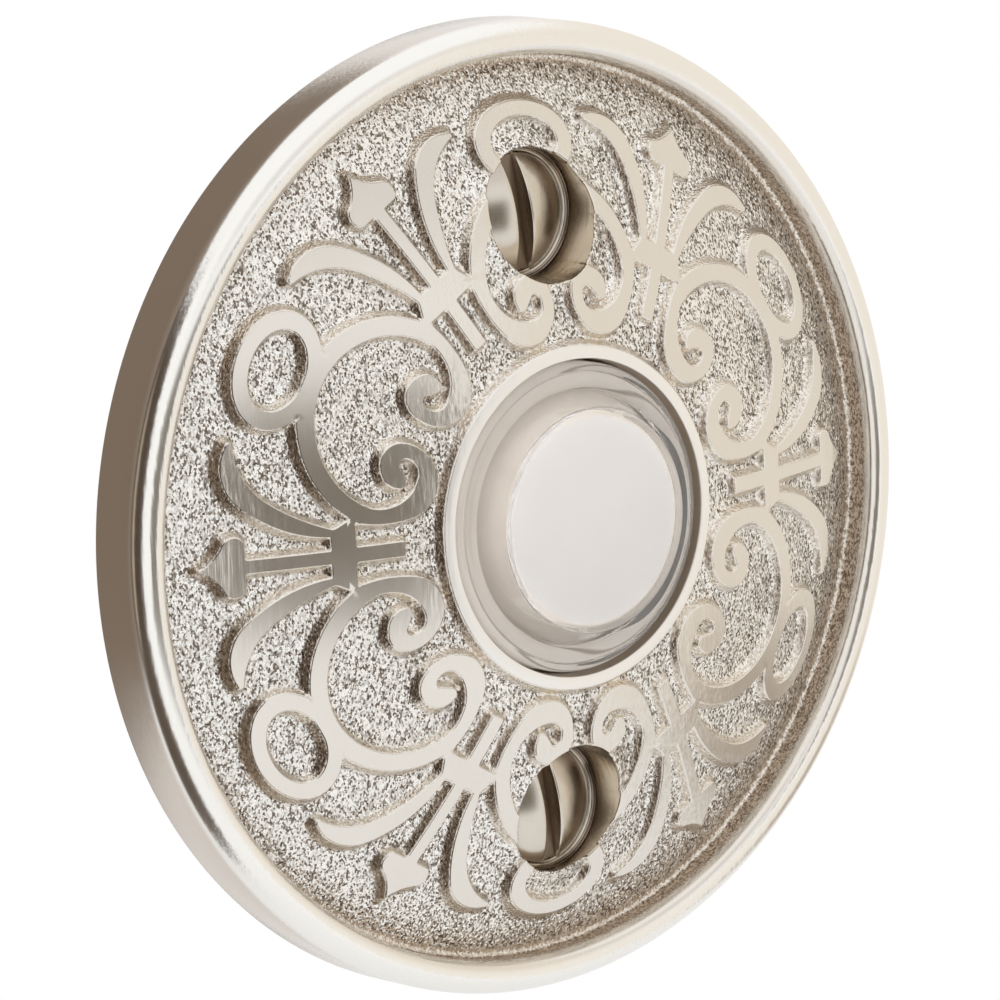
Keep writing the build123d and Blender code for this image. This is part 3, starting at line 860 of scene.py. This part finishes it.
def plate_look(f):
    spot = f.place()
    x, y, z = f.parts(spot)
    out = (0 - y) / mm
    from_axis = f.length(x, 0.0, z) / mm
    from_screw = f.length(x, 0.0, f.math("ABSOLUTE", z) - screw_radius * mm) / mm
    tops = f.node("Attribute", {"attribute_name": "tops"}, out="Fac")
    on_top = tops.step(0.80, 0.97)
    grained = 1 - on_top
    in_hole = (1 - from_screw.step(hole_radius, hole_edge)) * out.step(0.1, 0.4)
    on_collar = 1 - from_axis.step(9.95, collar_radius + 0.05)
    bore_shade_mask = 1 - from_axis.step(bore_radius + 0.01, bore_radius + 0.08)

    stretched = f.vmath("MULTIPLY", spot, (1.0, 1.0, 0.72))
    cells = f.node("TexVoronoi", {}, {"Vector": stretched, "Scale": 9800.0}, "Color")
    across, along, shade = f.parts(cells)
    broad, fine = streaks(f, x, y, z, 5200.0, 260.0, 3.0), streaks(f, x, y, z, 13000.0, 500.0, 2.0)
    lean = (broad + fine) * 0.2 * on_top
    facet = grained * (1 - tops.step(0.02, 0.2) * 0.45) * 0.62
    tilt = f.vector(lean + (across - 0.5) * facet, 0.0, (along - 0.5) * facet)
    normal = f.node("NewGeometry", out="Normal")
    leaning = f.vmath("NORMALIZE", f.vmath("ADD", normal, tilt))
    grain = f.noise(stretched, 6500.0, 1.0, 0.5)
    turning = f.noise(f.vector(from_screw * 9.0, y * 3000.0, 0.0), 1.0, 1.0, 0.5)
    height = grain * grained * (1 - in_hole) + turning * in_hole * 0.3
    relief = {"Strength": 1.0, "Distance": 0.00006, "Height": height, "Normal": leaning}

    patch, colour = plate_tones(f, shade, tops, on_top, normal, from_axis, out)
    # A screw hole's wall is painted with shade: dark brown low down, pale near the mouth.
    hole_wall_shade = out.step(4.3, 6.2).mix((0.24, 0.18, 0.13), (0.82, 0.74, 0.62))
    rings = turning.step(0.38, 0.62).mix((0.14, 0.10, 0.07), (0.86, 0.80, 0.70))
    colour = in_hole.mix(colour, out.step(4.15, 4.25).mix(rings, hole_wall_shade))
    colour = on_collar.mix(colour, (0.97, 0.95, 0.92))
    # The bore's wall round the cap is painted a dark brown shade, a shadow line between cap and plate.
    colour = bore_shade_mask.mix(colour, (0.42, 0.36, 0.30))
    on_rim = from_axis.step(26.8, 27.3)
    colour = on_rim.mix(colour, (0.70, 0.63, 0.56))
    colour = (on_rim * out.step(2.9, 3.6)).mix(colour, (0.95, 0.93, 0.89))
    roughness = 0.19 + patch * 0.05 + on_collar * 0.18 + grained * 0.06
    return {"Base Color": colour, "Roughness": roughness, "Normal": f.node("Bump", {}, relief)}


satin_nickel = finish("satin_nickel", {"Metallic": 1.0}, plate_look)
add_piece("face_plate_cast", plate_mesh, satin_nickel, "base", ["face_plate"])

# %% [markdown]
# ## Mounting screws
# Two slotted oval-head wood screws, bright nickel. A head is a shallow ball with a milled slot; its
# top is triangulated in rows along the slot, and the rest is turned. The thread is a helix.

# %% One screw

head_radius, head_rim, head_edge, head_dome = 3.5, 3.817, 0.1, 0.95
crown = head_rim + head_edge + head_dome
ball = (head_radius**2 + head_dome**2) / (2 * head_dome)
slot_half, slot_floor, slot_turn = 0.5, crown - 1.1, 7.0
neck_radius, core_radius, screw_tip = 1.9, 1.3, -21.183


def head_top(x, y):
    """Height of the head with its slot, whose edges are a little rounded."""
    dome = crown - ball + np.sqrt(ball * ball - x * x - y * y)
    into = np.clip((np.abs(x) - slot_half + 0.05) / 0.1, 0, 1)
    edge = 0.05 * np.clip(1 - (np.abs(x) - slot_half - 0.05) / 0.12, 0, 1) ** 2 * (dome > slot_floor)
    return np.where(dome > slot_floor, slot_floor + (dome - slot_floor) * into, dome) - edge * into


rows = [0.0, 0.25, 0.45, 0.47, 0.5, 0.53, 0.55, 0.58, 0.62, 0.67] + list(np.arange(0.85, 3.4, 0.2))
fill = []
for across in rows:
    reach = math.sqrt((head_radius - 0.06) ** 2 - across * across)
    for along in np.linspace(-reach, reach, max(5, int(reach * 14))):
        fill += [(across, along)] + ([(-across, along)] if across else [])
slot_turns = np.arcsin(np.array(rows[2:10]) / head_radius)
slot_turns = np.concatenate([math.pi / 2 + slot_turns, math.pi / 2 - slot_turns])
even_turns = [t for t in turns_of(120) if abs(head_radius * math.cos(t)) > 0.72 or abs(math.cos(t)) < 1e-6]
rim_turns = np.sort(np.concatenate([even_turns, slot_turns, slot_turns + math.pi]))
rim_loop = round_about(0, 0, head_radius, rim_turns)
plan, triangles = between([rim_loop], fill)
head = [(x, y, float(head_top(x, y))) for x, y in plan], [tuple(t) for t in triangles]
shank_profile = [(head_radius, crown - head_dome), (head_radius, head_rim + 0.05)]
shank_profile += [(head_radius - 0.06, head_rim - 0.05), (neck_radius, 1.977), (neck_radius, 0.0)]
shank_profile += [(core_radius, -0.5), (core_radius, -16.2), (0.9, -18.6), (0.0, screw_tip)]
shank, shank_faces = turned(shank_profile, rim_turns)
tops_there = np.repeat([float(head_top(x, y)) for x, y in rim_loop], len(shank_profile))
shank = [(x, y, min(z, top)) for (x, y, z), top in zip(shank, tops_there)]
screw_body = together(head, (shank, shank_faces))
print("screw", len(screw_body[1]), "faces")

# %% Thread, and both screws set in place

thread_pitch, thread_turns, thread_start = 1.4, 11.6, -17.1
thread_points, thread_faces = coil("thread", thread_turns, 1.32, thread_pitch * thread_turns, 0.42, 40, 3)
thread_points[:, 2] += thread_start
points, faces = together(screw_body, (thread_points.tolist(), thread_faces))
slot_cos, slot_sin = math.cos(math.radians(slot_turn)), math.sin(math.radians(slot_turn))
points = [(slot_cos * x - slot_sin * y, slot_sin * x + slot_cos * y, z) for x, y, z in points]
screws = []
for height in (screw_radius, -screw_radius):
    screws.append(([(x, y + height, z) for x, y, z in points], faces))
screw_mesh = mesh_of("mounting_screws_bright", *together(*screws), sharp=35)


def screw_look(f):
    spot = f.place()
    smear = f.noise(spot, 900.0, 3.0, 0.6)
    scratch = f.noise(f.vmath("MULTIPLY", spot, (9000.0, 1500.0, 900.0)), 1.0, 2.0, 0.6)
    x, y, z = f.parts(spot)
    beyond = z - f.math("SIGN", z) * (screw_radius * mm)
    across = x * slot_cos + beyond * slot_sin
    on_head = (0 - y).step(3.6 * mm, 3.7 * mm)
    slot_shade_mask = (1 - f.math("ABSOLUTE", across).step(0.44 * mm, 0.54 * mm)) * on_head
    colour = smear.mix((0.66, 0.60, 0.52), (0.76, 0.71, 0.64))
    # The slot in each head is painted a dark brown shade.
    colour = slot_shade_mask.mix(colour, (0.26, 0.20, 0.15))
    roughness = 0.15 + smear * 0.08 + scratch * 0.05 + slot_shade_mask * 0.2
    return {"Base Color": colour, "Roughness": roughness}


polished_nickel = finish("polished_nickel", {"Metallic": 1.0}, screw_look)
add_piece(
    "mounting_screws_bright", screw_mesh, polished_nickel, "base", ["mounting_screws"]
)

# %% [markdown]
# ## The button
# A clear cap moulded in one: two rounded beads with a fine groove between them, and a raised boss inside.
# A thin white hat fills its pocket and lies under the beads, and spreads the lamp's light. Both ride on
# the same body, so the hat may touch the cap. The cap casts no shadow, or the hat would look grey.

# %% Cap and diffuser

pocket_top, cap_back, cap_top = 9.6, 6.77, 10.3
cap_profile = [(0.0, pocket_top), (4.0, pocket_top), (6.2, pocket_top), (6.2, cap_back)]
cap_profile += [(8.95, cap_back), (9.05, cap_back + 0.1)]
cap_profile += arc((9.05, 8.05), (8.86, 8.36), (8.58, 8.43), 8) + [(8.58, 8.43), (8.52, 8.24)]
cap_profile += arc((8.46, 8.44), (8.05, 8.6), (7.55, 8.33), 12)
cap_profile += [(7.55, 8.33), (7.48, 8.17), (7.40, 8.41), (6.64, 9.78)]
cap_profile += quarter(6.15, 9.85, 0.45, 5, 90, 8) + [(4.0, cap_top), (0.0, cap_top)]
cap_mesh = mesh_of("lens_cap_clear", *turned(cap_profile, turns_of(192)), sharp=30)
hat_top, flange_top, flange_back = 9.62, 6.79, 6.45
diffuser_profile = [(0.0, hat_top), (5.9, hat_top), (6.12, 9.56), (6.22, 9.4), (6.22, flange_top)]
diffuser_profile += [(8.8, flange_top), (8.8, flange_back), (5.65, flange_back), (5.65, 8.6), (0.0, 8.6)]
diffuser_mesh = mesh_of("diffuser_white", *turned(diffuser_profile, turns_of(128)), sharp=30)


def cap_look(f):
    return {"Roughness": 0.01 + f.noise(f.place(), 700.0, 3.0, 0.6) * 0.03}


def diffuser_look(f):
    spot = f.place()
    cloud = f.noise(spot, 420.0, 3.0, 0.55)
    x, y, z = f.parts(spot)
    from_axis = f.length(x, 0.0, z) / mm
    # The hat is one white moulding. Its wall and the flange's inner part are painted a tan shade, the outer
    # flange is painted lighter as painted light where the glass dims it, and a thin ring at 8.4 mm is a
    # painted shadow line.
    face = cloud.mix((0.82, 0.80, 0.79), (0.86, 0.845, 0.84))
    side = cloud.mix((0.76, 0.69, 0.62), (0.86, 0.80, 0.74))
    brightened_flange = cloud.mix((0.92, 0.86, 0.79), (0.98, 0.94, 0.89))
    shadow_line = from_axis.band((8.32, 8.4), (8.42, 8.5))
    edge = shadow_line.mix(from_axis.step(6.9, 7.5).mix(side, brightened_flange), (0.40, 0.33, 0.27))
    return {"Base Color": from_axis.step(5.95, 6.15).mix(face, edge)}


clear_acrylic = finish(
    "clear_acrylic", {"Base Color": (1.0, 0.98, 0.955), "Transmission Weight": 0.9, "IOR": 1.49}, cap_look
)
white_acrylic = finish("white_acrylic", {"Roughness": 0.45}, diffuser_look)
cap = add_piece("lens_cap_clear", cap_mesh, clear_acrylic, "button", ["lens_cap"])
cap.visible_shadow = False
add_piece("diffuser_white", diffuser_mesh, white_acrylic, "button", ["diffuser"])

# %% [markdown]
# ## The spring
# An open coil of round wire between the base and the plunger, which pushes the button out again. It is
# one wire that follows a spiral.

# %% Return spring

spring_low, spring_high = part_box("return_spring")
spring_start = -5.73
coil_points, coil_faces = coil("spring", 4.0, 5.9, 7.46, 0.25, 48, 12)
coil_points[:, 2] += spring_start
spring_mesh = mesh_of("return_spring_wire", coil_points.tolist(), coil_faces, 60)
print("the spring's node reaches from", tuple(spring_low), "to", tuple(spring_high))


def steel_look(f):
    streak = f.noise(f.place(), 3000.0, 2.0, 0.6)
    colour = streak.mix((0.42, 0.42, 0.43), (0.56, 0.56, 0.56))
    return {"Base Color": colour, "Roughness": 0.22 + streak * 0.12}


spring_steel = finish("spring_steel", {"Metallic": 1.0}, steel_look)
spring = add_piece("return_spring_wire", spring_mesh, spring_steel, "base", ["return_spring"])
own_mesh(spring)

# %% [markdown]
# ## The switch behind the plate
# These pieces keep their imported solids. Their edges get a small bevel and each gets its own finish:
# moulded plastics with a faint flow texture, stamped brass, zinc-plated steel.

# %% Finishes of the switch


def moulded(low, high, scale, rough):
    """Moulded plastic with faint clouds of colour and a fine mould texture."""

    def look(f):
        spot = f.place()
        flow = f.noise(spot, scale, 4.0, 0.6)
        fine = f.noise(spot, 9000.0, 2.0, 0.5)
        bump = f.node("Bump", {}, {"Strength": 0.15, "Distance": 0.00003, "Height": fine})
        return {"Base Color": flow.mix(low, high), "Roughness": rough + flow * 0.12, "Normal": bump}

    return look


def metal(low, high, scale, rough):
    """Plated or stamped metal, a little stained and with fine drawing lines."""

    def look(f):
        spot = f.place()
        stain = f.noise(spot, scale, 4.0, 0.6)
        drawn = f.noise(f.vmath("MULTIPLY", spot, (14000.0, 1800.0, 1800.0)), 1.0, 2.0, 0.6)
        return {"Base Color": stain.mix(low, high), "Roughness": rough + stain * 0.12 + drawn * 0.1}

    return look


# Darkest and palest colour, scale of the clouds per metre, roughness, and lacquer for the plastics
plastics = {
    "white_nylon": ((0.78, 0.76, 0.71), (0.86, 0.84, 0.80), 900.0, 0.45, 0.0),
    "housing_plastic": ((0.72, 0.68, 0.57), (0.80, 0.76, 0.66), 900.0, 0.45, 0.0),
    "base_plastic": ((0.10, 0.05, 0.03), (0.17, 0.09, 0.05), 2400.0, 0.5, 0.0),
    "lamp_epoxy": ((0.84, 0.79, 0.64), (0.92, 0.88, 0.76), 900.0, 0.15, 0.6),
    "resistor_body": ((0.66, 0.54, 0.34), (0.76, 0.66, 0.46), 1500.0, 0.3, 0.4),
}
metals = {
    "contact_brass": ((0.66, 0.47, 0.19), (0.78, 0.60, 0.28), 1200.0, 0.25),
    "contact_silver": ((0.74, 0.73, 0.70), (0.86, 0.85, 0.83), 1200.0, 0.25),
    "zinc_steel": ((0.50, 0.50, 0.50), (0.66, 0.66, 0.67), 700.0, 0.3),
    "tinned_wire": ((0.60, 0.60, 0.60), (0.72, 0.72, 0.72), 1200.0, 0.25),
}
finishes = {"spring_steel": spring_steel}
for name, (low, high, scale, rough, lacquer) in plastics.items():
    finishes[name] = finish(name, {"Coat Weight": lacquer}, moulded(low, high, scale, rough))
for name, (low, high, scale, rough) in metals.items():
    finishes[name] = finish(name, {"Metallic": 1.0}, metal(low, high, scale, rough))

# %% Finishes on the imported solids

slots = {
    "plunger": "white_nylon", "contact_bridge": "contact_brass", "housing": "housing_plastic",
    "retaining_ring": "spring_steel", "terminal_base": "base_plastic", "contact_left": "contact_brass",
    "contact_right": "contact_brass", "contact_tips": "contact_silver", "clamp_washers": "zinc_steel",
    "terminal_screws": "zinc_steel", "lamp": "lamp_epoxy", "lamp_resistor": "resistor_body",
    "lamp_leads": "tinned_wire",
}
for node, slot_name in slots.items():
    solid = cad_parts[node]
    solid.data.materials.clear()
    solid.data.materials.append(finishes[slot_name])
    solid.data.shade_smooth()
    joined_up = solid.modifiers.new("weld", "WELD")
    joined_up.merge_threshold = 0.001 * mm
    edges = solid.modifiers.new("bevel", "BEVEL")
    edges.width, edges.segments, edges.limit_method = 0.06 * mm, 2, "ANGLE"
    edges.angle_limit = math.radians(40)
    edges.harden_normals = True
print(len(slots), "packed solids dressed")

# %% [markdown]
# ## The studio
# The photograph has a white ground and soft light from all round, with dark and tan things near it that
# the metal reflects. The world is white to the camera and in reflections, and dimmer as light. The cards
# stand for those things and are seen only in reflections. The floor fades out before its edge.

# %% World

world = bpy.data.worlds.new("studio")
bpy.context.scene.world = world
world.use_nodes = True
sky = Field(world.node_tree)
seen = sky.node("LightPath").socket.node.outputs
seen_white = Field(sky.tree, seen["Is Camera Ray"])
for ray in ("Is Glossy Ray", "Is Transmission Ray"):
    seen_white = sky.math("MAXIMUM", seen_white, Field(sky.tree, seen[ray]))
background = world.node_tree.nodes["Background"]
background.inputs["Color"].default_value = (1, 1, 1, 1)
strength = 0.75 + seen_white * 0.25
world.node_tree.links.new(strength.socket, background.inputs["Strength"])
print("world made")

# %% Floor and cards


def sheet(name, half, height):
    """A flat square object."""
    corners = [(x * half, y * half, height) for x, y in ((-1, -1), (1, -1), (1, 1), (-1, 1))]
    mesh = bpy.data.meshes.new(name)
    mesh.from_pydata(corners, [], [(0, 1, 2, 3)])
    return in_scene(name, mesh)


def card(name, azimuth, elevation, width, height, colour, soft=0.35, distance=0.7):
    """A plane that faces the button and is seen only in reflections, with soft edges."""
    thing = sheet(name, 1.0, 0.0)
    stand = stand_at(azimuth, elevation, distance)
    thing.matrix_world = stand @ Matrix.Diagonal((width / 2, height / 2, 1, 1))
    material = bpy.data.materials.new(name)
    material.use_nodes = True
    tree = material.node_tree
    tree.nodes.remove(tree.nodes["Principled BSDF"])
    f = Field(tree)
    x, y, z = f.parts(f.place())
    inside = (1 - f.math("ABSOLUTE", x)).step(0.0, soft) * (1 - f.math("ABSOLUTE", y)).step(0.0, soft)
    glow = f.node("Emission", {}, {"Color": (*colour, 1)})
    clear = f.node("BsdfTransparent")
    shade = f.node("MixShader", {}, {0: inside, 1: clear, 2: glow})
    tree.links.new(shade.socket, tree.nodes["Material Output"].inputs["Surface"])
    thing.data.materials.append(material)
    thing.visible_camera = thing.visible_diffuse = False
    thing.visible_shadow = thing.visible_transmission = False


card("left_dark", -92, 5, 1.1, 1.45, (0.075, 0.052, 0.038), 0.3)
card("behind", -158, 12, 1.7, 1.7, (0.27, 0.225, 0.185), 0.3, 0.75)
card("left_strip", -109, -5, 0.18, 1.1, (0.50, 0.42, 0.33), 0.6, 0.65)
card("left_low", -85, -42, 0.34, 0.26, (0.10, 0.075, 0.055), 0.4, 0.26)
card("front_dark", 1, -4, 0.23, 0.165, (0.18, 0.155, 0.125), 0.3, 0.3)
card("front_high", 12, 34, 0.9, 0.42, (0.78, 0.76, 0.74), 0.8)
card("right_tan", 82, 6, 2.2, 1.4, (0.88, 0.83, 0.75), 0.4)
card("right_low", 80, -27, 0.30, 0.13, (0.42, 0.36, 0.30), 0.8, 0.35)

floor_half, floor_height = 0.8, -0.25
floor = sheet("floor", floor_half, floor_height)


def floor_look(f):
    x, y, z = f.parts(f.place())
    return {"Alpha": 1 - f.length(x, y, 0.0).step(0.1, 0.7)}


pale = {"Base Color": (0.93, 0.93, 0.93), "Roughness": 0.7}
floor.data.materials.append(finish("floor", pale, floor_look))
print("cards and floor stand")

# %% Lamps


def lamp(name, azimuth, elevation, size, power, distance=0.8):
    """A soft square lamp that neither the camera nor a reflection sees."""
    data = bpy.data.lights.new(name, "AREA")
    data.size, data.energy = size, power
    thing = in_scene(name, data)
    thing.matrix_world = stand_at(azimuth, elevation, distance)
    thing.visible_camera = thing.visible_glossy = False


lamp("key", -20, 55, 0.7, 2.0)
lamp("fill", -75, 10, 0.4, 1.0)

bpy.context.scene.view_settings.view_transform = "Standard"
print("lamps stand")
